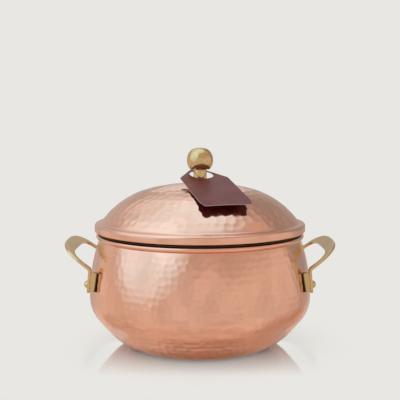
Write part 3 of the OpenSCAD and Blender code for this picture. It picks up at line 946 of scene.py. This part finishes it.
def camera():
    """The camera in front of the kettle, looking slightly down on it."""
    data = bpy.data.cameras.new("camera")
    data.sensor_width = SENSOR_MM
    data.lens = SENSOR_MM * FOCAL_PX / PHOTO_PX
    data.clip_start = CAMERA_CLIP
    obj = bpy.data.objects.new("camera", data)
    obj.location = (0, -CAMERA_BACK, CAMERA_Z)
    obj.rotation_euler = (math.pi / 2 - CAMERA_DOWN, 0, 0)
    bpy.context.scene.collection.objects.link(obj)
    bpy.context.scene.camera = obj


def mirror_share(n, place):
    """How much of the floor is mirror: most beside the kettle's middle, less towards the
    camera, the rear and further out, and little where it is seen from above."""
    at_y = n.split(place)["Y"]
    around = n.ramp(n.distance(place, MIRROR_MIDDLE), *MIRROR_AROUND, 1, 0, smooth=True)
    front = n.ramp(at_y, *MIRROR_FRONT_Y, 0, 1)
    rear = n.ramp(at_y, *MIRROR_REAR_Y, 1, 0)
    facing = n.add("ShaderNodeLayerWeight", Blend=0.5).outputs["Facing"]
    low = n.ramp(facing, *MIRROR_FACING, MIRROR_FROM_ABOVE, 1)
    return n.times(n.times(around, n.times(front, rear)), low)


def floor():
    """A floor as pale as the backdrop that mirrors the kettle softly where it stands, keeps
    its shadow, has painted shade as a dark ring where the kettle touches it, and lets the
    backdrop through further out. It is clear from below."""
    bpy.ops.mesh.primitive_plane_add(size=FLOOR_SIZE, location=(0, 0, FLOOR_Z))
    obj = bpy.context.object
    obj.name = "floor"
    mat, shader, n = material("floor_pale")
    shader.inputs["Base Color"].default_value = (*MIRROR_TONE, 1)
    shader.inputs["Metallic"].default_value = 1.0
    shader.inputs["Roughness"].default_value = MIRROR_ROUGHNESS
    clear = n.add("ShaderNodeBsdfTransparent").outputs["BSDF"]
    matt = n.add("ShaderNodeBsdfDiffuse", Color=(*FLOOR_MATT, 1)).outputs["BSDF"]
    shade = n.add("ShaderNodeBsdfDiffuse", Color=(*CONTACT_SHADE_TONE, 1)).outputs["BSDF"]
    place = n.place()
    from_axis = n.distance(place)
    shadow = n.ramp(from_axis, *SHADOW_AROUND, SHADOW_SHARE, 0, smooth=True)
    # painted shade: a dark ring of floor colour round the kettle's foot
    painted_contact_shade = n.times(n.ramp(from_axis, *CONTACT_AROUND, CONTACT_SHARE, 0, smooth=True),
                      n.ramp(from_axis, *CONTACT_INSIDE, 0, 1))
    below = n.add("ShaderNodeNewGeometry").outputs["Backfacing"]
    surface = n.lay(shadow, clear, matt)
    surface = n.lay(mirror_share(n, place), surface, shader.outputs["BSDF"])
    surface = n.lay(painted_contact_shade, surface, shade)
    surface = n.lay(below, surface, clear)
    out = [x for x in mat.node_tree.nodes if x.type == "OUTPUT_MATERIAL"][0]
    n.link(surface, out.inputs["Surface"])
    obj.data.materials.append(mat)


def toward_deg(azimuth, elevation):
    """A direction by its angle to the right of the camera and its angle up."""
    a, e = math.radians(azimuth), math.radians(elevation)
    return Vector((math.sin(a) * math.cos(e), -math.cos(a) * math.cos(e), math.sin(e)))


def soft_box(n, toward, sky, azimuth, elevation, inner, outer, colour):
    """Lays a soft light or a dark screen over the sky."""
    dot = n.add("ShaderNodeVectorMath", operation="DOT_PRODUCT")
    n.link(toward, dot.inputs[0])
    dot.inputs[1].default_value = toward_deg(azimuth, elevation)
    fac = n.ramp(dot.outputs["Value"], math.cos(math.radians(outer)),
                 math.cos(math.radians(inner)), 0, 1, smooth=True)
    return n.mix(fac, sky, colour)


def metal_sky(n):
    """The colour that the metal sees in each direction."""
    toward = n.add("ShaderNodeTexCoord").outputs["Generated"]
    up = n.split(toward)["Z"]
    sky = n.mix(n.ramp(up, *DOWN_TO_LOW, 0, 1), SKY_DOWN, SKY_LOW)
    sky = n.mix(n.ramp(up, *LOW_TO_LEVEL, 0, 1), sky, SKY_LEVEL)
    sky = n.mix(n.ramp(up, *LEVEL_TO_HIGH, 0, 1), sky, SKY_HIGH)
    for box in SOFT_BOXES:
        sky = soft_box(n, toward, sky, *box)
    broad = n.noise(PATCH_SCALE, detail=1.5, where=toward)
    patches = n.ramp(broad, *SOFT_NOISE, *PATCH_GAIN)
    fine = n.noise(RIPPLE_SCALE, detail=1.0, where=toward)
    ripples = n.ramp(fine, *SOFT_NOISE, *RIPPLE_GAIN)
    gain = n.add("ShaderNodeVectorMath", operation="SCALE")
    n.link(sky, gain.inputs[0])
    n.link(n.times(patches, n.ramp(up, *RIPPLE_BELOW, ripples, 1.0)), gain.inputs["Scale"])
    return soft_box(n, toward, gain.outputs["Vector"], *BACKDROP_BOX)


def world():
    """The pale backdrop that the camera sees, soft boxes that the metal sees, and an even
    fill for everything else."""
    w = bpy.data.worlds.new("studio")
    bpy.context.scene.world = w
    w.use_nodes = True
    n = Nodes(w.node_tree)
    w.node_tree.nodes.clear()

    def background(colour, strength=1.0):
        """Light of one colour, or of an output's colour, from all directions."""
        node = n.add("ShaderNodeBackground", Strength=strength)
        n.feed(colour, node.inputs["Color"])
        return node.outputs["Background"]

    path = n.add("ShaderNodeLightPath").outputs
    light = n.lay(path["Is Glossy Ray"], background(FILL_TONE, FILL_STRENGTH),
                  background(metal_sky(n)))
    light = n.lay(path["Is Camera Ray"], light, background(BACKDROP))
    n.link(light, n.add("ShaderNodeOutputWorld").inputs["Surface"])


def lamp(name, place, size, watts):
    """A soft square lamp aimed at the middle of the kettle, which the metal doesn't show."""
    data = bpy.data.lights.new(name, "AREA")
    data.size = size
    data.energy = watts
    obj = bpy.data.objects.new(name, data)
    obj.location = place
    obj.rotation_euler = (LAMP_AIM - Vector(place)).to_track_quat("-Z", "Y").to_euler()
    obj.visible_glossy = False
    bpy.context.scene.collection.objects.link(obj)


def stage():
    """Everything round the kettle."""
    camera()
    floor()
    world()
    lamp("key_lamp", *KEY_LAMP)
    lamp("top_lamp", *TOP_LAMP)
    bpy.context.scene.view_settings.view_transform = "Standard"


# ---------------------------------------------------------------- build

copper = copper_material()
brass = brass_material()
stainless = stainless_material()
fastener = dark_steel_material()

stage()
pot_body(copper)
pot_lining(stainless)
lid_dome(copper)
strap_handle("right", brass)
strap_handle("left", brass)
knob_ball(brass)
knob_stem(brass)
swing_tag(card_material(), card_edge_material())

corners = [f"{side}_{end}" for side in ("left", "right") for end in ("front", "rear")]
dress_cad([f"rivet_{c}" for c in corners], brass)
# the spacers get brass with painted crevice shade
dress_cad([f"spacer_{c}" for c in corners], crevice_shade_brass_material())
dress_cad([f"saddle_{c}" for c in corners], stainless)
# the seat ring is painted near black as the shade in the gap under the lid
dress_cad(["lid_seat_ring"], gap_shade_steel_material())
dress_cad(["rim_wire", "knob_screw", "knob_washer", "knob_spring_washer"], fastener)
